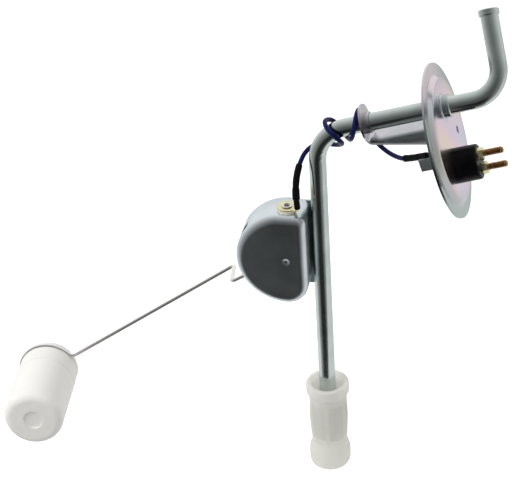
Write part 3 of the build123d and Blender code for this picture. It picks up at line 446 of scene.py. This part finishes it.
def thread(name, y, z, start, end):
    """Screw surface round an axis along X: at angle a the radius rises and falls as a rounded V once
    per pitch, and each turn carries it on by one pitch. It runs out over most of a turn at each end."""
    pitch, root, crest, run_out = 0.0008, 0.00152, 0.00198, 0.8
    turns = (end - start) / pitch
    along = np.linspace(0, turns, int(turns * 14))[:, None]
    around = np.linspace(0, 2 * pi, 40, endpoint=False)[None, :]
    phase = (along - around / (2 * pi)) % 1.0
    wave = np.clip(1.15 * (1 - np.abs(2 * phase - 1)) - 0.05, 0, 1)
    fade = np.clip(np.minimum(along, turns - along) / run_out, 0, 1)
    radius = root + (crest - root) * wave * fade
    x = np.broadcast_to(start + along * pitch, radius.shape)
    points = np.stack([x, y + radius * np.sin(around), z + radius * np.cos(around)], -1)
    surface(name, points, False, True, copper, "sender")


thread("signal_thread", -0.0092, -0.0066, 0.0196, 0.0296)
thread("earth_thread", -0.0092, -0.0150, 0.0196, 0.0296)


# Strainer: a cage of thin translucent nylon, moulded in one, with a fine mesh inside it. Light goes
# through both, so the tube's foot shows as a shadow.
nylon_look = {"inside": 0.4, "depth": (0.003, 0.003, 0.0026), "through": 0.5}
nylon = moulded(
    "Strainer nylon", (0.96, 0.955, 0.92), (0.93, 0.925, 0.89), 0.38, relief=0.2, clear=0.10, **nylon_look
)
dress(nylon, "strainer_cage")
weave = moulded(
    "Strainer mesh", (0.94, 0.935, 0.90), (0.90, 0.895, 0.86), 0.6, relief=0.4, clear=0.12, **nylon_look
)
dress(weave, "strainer_mesh")


# Lead: soft blue covered wire from the lug on the can, wound twice round the tube and led behind
# the bracket to the tab on the flange. One smooth run.
lead_radius = 0.0013
navy = plated(
    "Blue covering", (0.007, 0.012, 0.085), (0.004, 0.007, 0.060), 0.36,
    metallic=0.0, cloud_scale=150.0, shine=0.15,
)
route = [
    (-0.088571, -0.007361, -0.019203), (-0.0866, -0.0066, -0.0085), (-0.0826, 0.0005, 0.0020),
    (-0.0773, 0.0085, 0.0075), (-0.0695, 0.0125, 0.0075), (-0.0613, 0.0076, 0.0068),
    (-0.0540, 0.0008, 0.0096), (-0.0538, -0.0052, 0.0158), (-0.0584, -0.0038, 0.0223),
    (-0.0608, 0.0036, 0.0248), (-0.0582, 0.0110, 0.0203), (-0.0550, 0.0098, 0.0124),
    (-0.0506, 0.0026, 0.0102), (-0.0467, -0.0039, 0.0146), (-0.0431, -0.0039, 0.0218),
    (-0.0418, 0.0018, 0.0256), (-0.0418, 0.0094, 0.0244), (-0.0419, 0.0134, 0.0175),
    (-0.0418, 0.0130, 0.0085), (-0.0398, 0.0110, 0.0015), (-0.0350, 0.0075, -0.0032),
    (-0.0295, 0.0026, -0.0049), (-0.0230, -0.0034, -0.0044), (-0.0091, -0.0102, -0.0010),
]
lead_data = bpy.data.curves.new("lead", "CURVE")
lead_data.dimensions = "3D"
lead_data.resolution_u = 16
lead_line = lead_data.splines.new("NURBS")
lead_line.points.add(len(route) - 1)
for point, place in zip(lead_line.points, route):
    point.co = (*place, 1)
lead_line.order_u = 3
lead_line.use_endpoint_u = True
lead = bpy.data.objects.new("lead", lead_data)
bpy.context.scene.collection.objects.link(lead)
bare = bpy.data.meshes.new_from_object(lead)
line = np.empty(len(bare.vertices) * 3, np.float32)
bare.vertices.foreach_get("co", line)
line = line.reshape(-1, 3).astype(float)
bpy.data.meshes.remove(bare)
lead_data.bevel_depth = lead_radius
lead_data.bevel_resolution = 6
lead_data.use_fill_caps = True
lead_data.materials.append(navy)
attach(lead, "sender")
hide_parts("lead_wire")


# Shrink sleeves: black tube shrunk over each end of the lead, with a soft crease or two. It runs a
# little past the lead's end and draws in to a lip there.
rubber = plated(
    "Black sleeve", (0.006, 0.006, 0.007), (0.003, 0.003, 0.004), 0.45,
    metallic=0.0, cloud_scale=250.0, shine=0.08,
)
over_end = 0.0003
first_step, last_step = line[0] - line[1], line[-1] - line[-2]
line = np.vstack([
    line[0] + first_step / np.linalg.norm(first_step) * over_end,
    line,
    line[-1] + last_step / np.linalg.norm(last_step) * over_end,
])
travel = np.concatenate([[0], np.cumsum(np.linalg.norm(np.diff(line, axis=0), axis=1))])


def sleeve(name, stands_for, start, end, places, radii, lips):
    """Tube along the lead's line from start to end: the radius runs through the given ones at their
    shares of the length, plus a slow wave, and draws in to a lip of the given radius at each end. Each
    ring stands square to the line."""
    lip_share = 0.035
    at = np.linspace(start, end, 90)
    path = np.stack([np.interp(at, travel, line[:, k]) for k in range(3)], -1)
    step = np.gradient(path, axis=0)
    step /= np.linalg.norm(step, axis=1)[:, None]
    side = np.cross(step, (0.3, 0.9, 0.1))
    side /= np.linalg.norm(side, axis=1)[:, None]
    up = np.cross(step, side)
    share = np.linspace(0, 1, len(path))
    wave = 0.00005 * np.sin(9 * share + 1) + 0.00003 * np.sin(23 * share)
    radius = np.interp(share, places, radii) + wave
    ends = np.clip(np.minimum(share, 1 - share) / lip_share, 0, 1)
    lip = np.where(share < 0.5, *lips)
    radius = lip + (radius - lip) * np.sqrt(1 - (1 - ends) ** 2)
    around = np.linspace(2 * pi, 0, 32, endpoint=False)[None, :, None]
    ring = np.cos(around) * side[:, None] + np.sin(around) * up[:, None]
    points = path[:, None] + ring * radius[:, None, None]
    piece = surface(name, points, False, True, rubber, "sender")
    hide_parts(stands_for)


closed_lip, open_lip = 0.0002, 0.00128
sleeve(
    "can_shrink", "can_sleeve", 0.0, 0.0258,
    (0.0, 0.22, 0.26, 0.46, 0.49, 1.0), (0.00160, 0.00164, 0.00212, 0.00212, 0.00186, 0.00182),
    (closed_lip, open_lip),
)
sleeve(
    "tank_shrink", "tank_sleeve", travel[-1] - 0.0176, travel[-1],
    (0.0, 1.0), (0.00185, 0.00187),
    (open_lip, closed_lip),
)


# Stage: a pale table under the part, and a room that is white behind it and grey towards the front,
# darkest low down where the photographer stands. The camera is at the photograph's angle.
floor_side, floor_near, floor_far, floor_z = 1.2, -0.10, 1.6, -0.235
floor_mesh = bpy.data.meshes.new("floor")
floor_mesh.from_pydata(
    [
        (-floor_side, floor_near, floor_z), (floor_side, floor_near, floor_z),
        (floor_side, floor_far, floor_z), (-floor_side, floor_far, floor_z),
    ],
    [],
    [(0, 1, 2, 3)],
)
floor = bpy.data.objects.new("floor", floor_mesh)
bpy.context.scene.collection.objects.link(floor)
pale = bpy.data.materials.new("Pale floor")
pale.use_nodes = True
pale_tree = pale.node_tree
pale_shader = pale_tree.nodes["Principled BSDF"]
pale_shader.inputs["Base Color"].default_value = (0.90, 0.90, 0.90, 1)
pale_shader.inputs["Roughness"].default_value = 0.9
pale_ray = shader_node(pale_tree, "LightPath")
pale_share = shader_node(pale_tree, "Math", {1: 0.55}, operation="MULTIPLY")
pale_glow = shader_node(pale_tree, "Emission")
pale_sum = shader_node(pale_tree, "AddShader")
wire(
    pale_tree,
    (pale_ray, "Is Camera Ray", pale_share, 0),
    (pale_share, 0, pale_glow, "Strength"),
    (pale_shader, "BSDF", pale_sum, 0),
    (pale_glow, "Emission", pale_sum, 1),
    (pale_sum, "Shader", pale_tree.nodes["Material Output"], "Surface"),
)
floor_mesh.materials.append(pale)

world = bpy.data.worlds.new("Room")
bpy.context.scene.world = world
world.use_nodes = True
sky = world.node_tree
to_photographer = (-0.18, -0.83, -0.53)
sky_where = shader_node(sky, "TexCoord")
sky_split = shader_node(sky, "SeparateXYZ")
sky_slope = shader_node(
    sky, "MapRange", {"From Min": -0.95, "From Max": 0.80, "To Min": 0.12, "To Max": 1.0}
)
sky_angle = shader_node(sky, "VectorMath", {1: to_photographer}, operation="DOT_PRODUCT")
sky_shade = shader_node(
    sky, "MapRange", {"From Min": 0.78, "From Max": 0.98, "To Min": 1.0, "To Max": 0.14},
    interpolation_type="SMOOTHSTEP",
)
sky_level = shader_node(sky, "Math", operation="MULTIPLY")
sky_ray = shader_node(sky, "LightPath")
sky_seen = shader_node(sky, "Math", operation="MAXIMUM")
sky_light = sky.nodes["Background"]
sky_light.inputs["Color"].default_value = (1, 1, 1, 1)
wire(
    sky,
    (sky_where, "Generated", sky_split, 0),
    (sky_split, "Y", sky_slope, "Value"),
    (sky_where, "Generated", sky_angle, 0),
    (sky_angle, "Value", sky_shade, "Value"),
    (sky_slope, "Result", sky_level, 0),
    (sky_shade, "Result", sky_level, 1),
    (sky_level, 0, sky_seen, 0),
    (sky_ray, "Is Camera Ray", sky_seen, 1),
    (sky_seen, 0, sky_light, "Strength"),
)


def area_light(name, place, target, size, power):
    """Square lamp at a place, facing the target, that mirrors don't show."""
    lamp = bpy.data.lights.new(name, "AREA")
    lamp.size = size
    lamp.energy = power
    holder = bpy.data.objects.new(name, lamp)
    holder.location = place
    holder.rotation_euler = (Vector(target) - Vector(place)).to_track_quat("-Z", "Y").to_euler()
    holder.visible_glossy = False
    bpy.context.scene.collection.objects.link(holder)


area_light("key", (-0.9, -0.6, 1.1), (-0.1, 0, -0.05), size=0.8, power=13.0)
area_light("fill", (0.15, -1.2, 0.1), (-0.12, 0, -0.07), size=0.8, power=4.5)

camera_place = (0.23607, -0.85169, 0.44874)
camera_turn = Matrix((
    (0.92390, 0.17483, 0.34036),
    (0.19813, 0.54239, -0.81643),
    (-0.32734, 0.82174, 0.46647),
))
camera_data = bpy.data.cameras.new("camera")
camera_data.lens = 130.67
camera_data.sensor_width = 36.0
camera = bpy.data.objects.new("camera", camera_data)
camera.matrix_world = Matrix.Translation(camera_place) @ camera_turn.to_4x4()
bpy.context.scene.collection.objects.link(camera)
bpy.context.scene.camera = camera
bpy.context.scene.view_settings.view_transform = "Standard"
